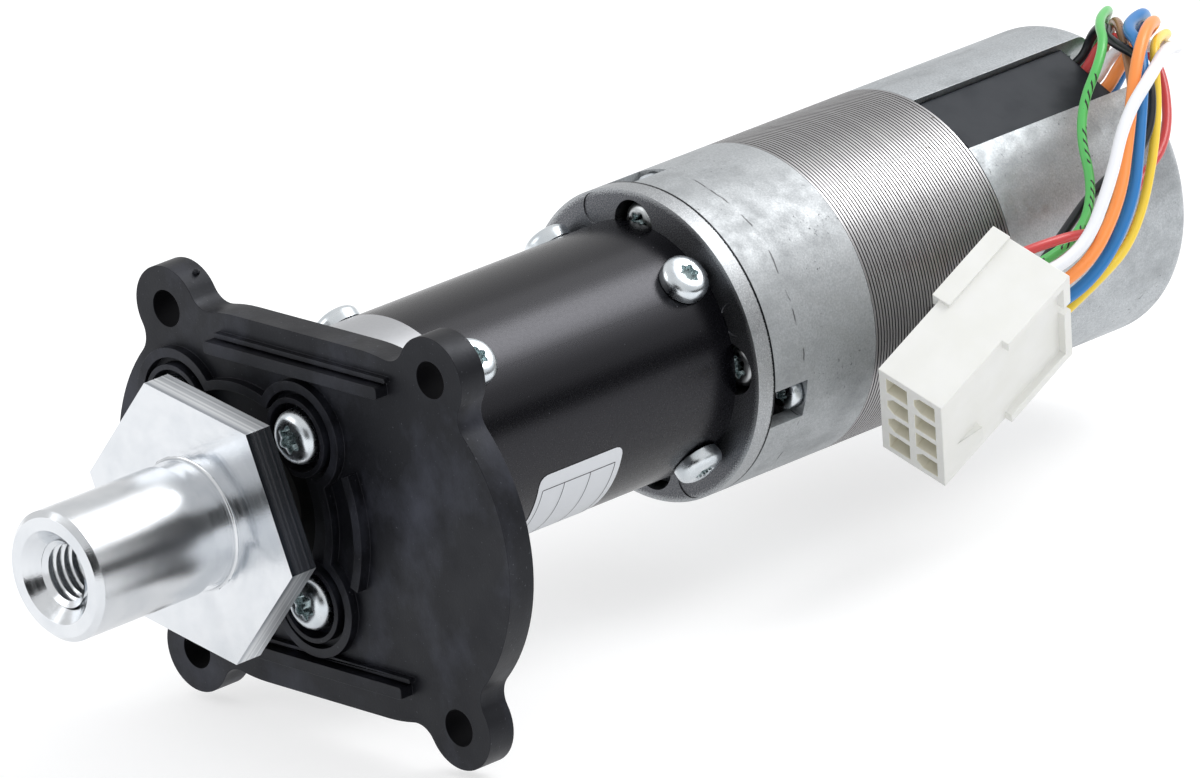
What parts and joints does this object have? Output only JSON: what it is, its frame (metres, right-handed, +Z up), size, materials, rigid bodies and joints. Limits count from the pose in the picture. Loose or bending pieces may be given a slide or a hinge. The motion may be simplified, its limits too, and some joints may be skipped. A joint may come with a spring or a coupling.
{
  "type": "wheel motor",
  "caption": "Brushless gear motor with a round drive, an eared mounting flange, a hexagonal wheel hub with a threaded stub, and loose leads with a plug.",
  "frame": {"origin": "centre of the flange's four ear holes, on the flange's front face", "axes": "+Y runs along the drive axis from the hub to the motor's rear, +Z is up, and the drive axis is parallel to Y at X -10.5 mm"},
  "size_m": [0.0674, 0.1823, 0.054],
  "materials": {
    "hub_aluminium": "turned and milled, bright, with fine tool marks",
    "black_glass_filled_plastic": "moulded, matt, faintly speckled",
    "zinc_plated_steel": "bright zinc plate",
    "satin_steel": "turned, satin",
    "black_tube": "satin black, smooth",
    "cast_plate": "dark grainy casting with a bright machined rim",
    "die_cast": "die-cast, mottled satin grey",
    "lamination_steel": "stacked sheet edges, fine grooves",
    "bearing_steel": "ground and polished",
    "gear_steel": "cut and hardened steel",
    "spring_steel": "dark spring steel",
    "seal_rubber": "matt black",
    "winding_copper": "enamelled copper wire",
    "magnet": "dark grey",
    "board": "green lacquered board",
    "black_satin_plastic": "moulded, satin black",
    "white_plastic": "moulded, natural white",
    "tin_plate": "tin-plated",
    "wire_white": "insulation, glossy",
    "wire_orange": "insulation, glossy",
    "wire_blue": "insulation, glossy",
    "wire_yellow": "insulation, glossy",
    "wire_red": "insulation, glossy",
    "wire_green": "insulation, glossy",
    "wire_black": "insulation, glossy",
    "wire_brown": "insulation, glossy"
  },
  "bodies": {
    "housing": {"adapter_plate": "cast_plate", "adapter_screws": "zinc_plated_steel", "bearing_housing": "satin_steel", "black_lead": "wire_black", "blue_lead": "wire_blue", "brown_lead": "wire_brown", "flange": "black_glass_filled_plastic", "flange_screws": "zinc_plated_steel", "front_radial_screws": "zinc_plated_steel", "gearbox_tube": "black_tube", "green_lead": "wire_green", "lead_cover": "black_satin_plastic", "lead_sleeve": "black_satin_plastic", "motor_bearing_outer_rings": "bearing_steel", "motor_shield": "die_cast", "orange_lead": "wire_orange", "output_bearing_outer_rings": "bearing_steel", "plug_housing": "white_plastic", "plug_terminals": "tin_plate", "rear_cover": "die_cast", "rear_radial_screws": "zinc_plated_steel", "red_lead": "wire_red", "ring_gear": "gear_steel", "sensor_board": "board", "shaft_seal": "seal_rubber", "stator_core": "lamination_steel", "stator_windings": "winding_copper", "tie_bolts": "zinc_plated_steel", "white_lead": "wire_white", "yellow_lead": "wire_yellow"},
    "wheel_drive": {"wheel_hub": "hub_aluminium", "output_shaft": "satin_steel", "shaft_circlip": "spring_steel", "output_bearing_inner_rings": "bearing_steel", "output_carrier": "gear_steel", "output_carrier_pins": "bearing_steel"},
    "middle_stage": {"input_carrier": "gear_steel", "input_carrier_pins": "bearing_steel", "output_sun": "gear_steel"},
    "rotor": {"motor_shaft": "satin_steel", "motor_pinion": "gear_steel", "rotor_core": "lamination_steel", "rotor_magnets": "magnet", "motor_bearing_inner_rings": "bearing_steel"},
    "input_planet_1": {"input_planet_1": "gear_steel"},
    "input_planet_2": {"input_planet_2": "gear_steel"},
    "input_planet_3": {"input_planet_3": "gear_steel"},
    "output_planet_1": {"output_planet_1": "gear_steel"},
    "output_planet_2": {"output_planet_2": "gear_steel"},
    "output_planet_3": {"output_planet_3": "gear_steel"}
  },
  "joints": [
    {"name": "wheel_spin", "type": "hinge", "parent": "housing", "child": "wheel_drive", "pos_m": [-0.0105, 0, 0], "axis": [0, 1, 0], "continuous": true},
    {"name": "middle_spin", "type": "hinge", "parent": "housing", "child": "middle_stage", "pos_m": [-0.0105, 0.048, 0], "axis": [0, 1, 0], "continuous": true},
    {"name": "rotor_spin", "type": "hinge", "parent": "housing", "child": "rotor", "pos_m": [-0.0105, 0.098, 0], "axis": [0, 1, 0], "continuous": true},
    {"name": "output_planet_1_spin", "type": "hinge", "parent": "wheel_drive", "child": "output_planet_1", "pos_m": [-0.0105, 0.0431, 0.0084], "axis": [0, 1, 0], "continuous": true},
    {"name": "output_planet_2_spin", "type": "hinge", "parent": "wheel_drive", "child": "output_planet_2", "pos_m": [-0.01777, 0.0431, -0.0042], "axis": [0, 1, 0], "continuous": true},
    {"name": "output_planet_3_spin", "type": "hinge", "parent": "wheel_drive", "child": "output_planet_3", "pos_m": [-0.00323, 0.0431, -0.0042], "axis": [0, 1, 0], "continuous": true},
    {"name": "input_planet_1_spin", "type": "hinge", "parent": "middle_stage", "child": "input_planet_1", "pos_m": [-0.00323, 0.0538, 0.0042], "axis": [0, 1, 0], "continuous": true},
    {"name": "input_planet_2_spin", "type": "hinge", "parent": "middle_stage", "child": "input_planet_2", "pos_m": [-0.01777, 0.0538, 0.0042], "axis": [0, 1, 0], "continuous": true},
    {"name": "input_planet_3_spin", "type": "hinge", "parent": "middle_stage", "child": "input_planet_3", "pos_m": [-0.0105, 0.0538, -0.0084], "axis": [0, 1, 0], "continuous": true}
  ],
  "couplings": [
    {"joint": "middle_spin", "follows": "wheel_spin", "ratio": 4},
    {"joint": "rotor_spin", "follows": "wheel_spin", "ratio": 16},
    {"joint": "output_planet_1_spin", "follows": "wheel_spin", "ratio": -3},
    {"joint": "output_planet_2_spin", "follows": "wheel_spin", "ratio": -3},
    {"joint": "output_planet_3_spin", "follows": "wheel_spin", "ratio": -3},
    {"joint": "input_planet_1_spin", "follows": "wheel_spin", "ratio": -12},
    {"joint": "input_planet_2_spin", "follows": "wheel_spin", "ratio": -12},
    {"joint": "input_planet_3_spin", "follows": "wheel_spin", "ratio": -12}
  ]
}
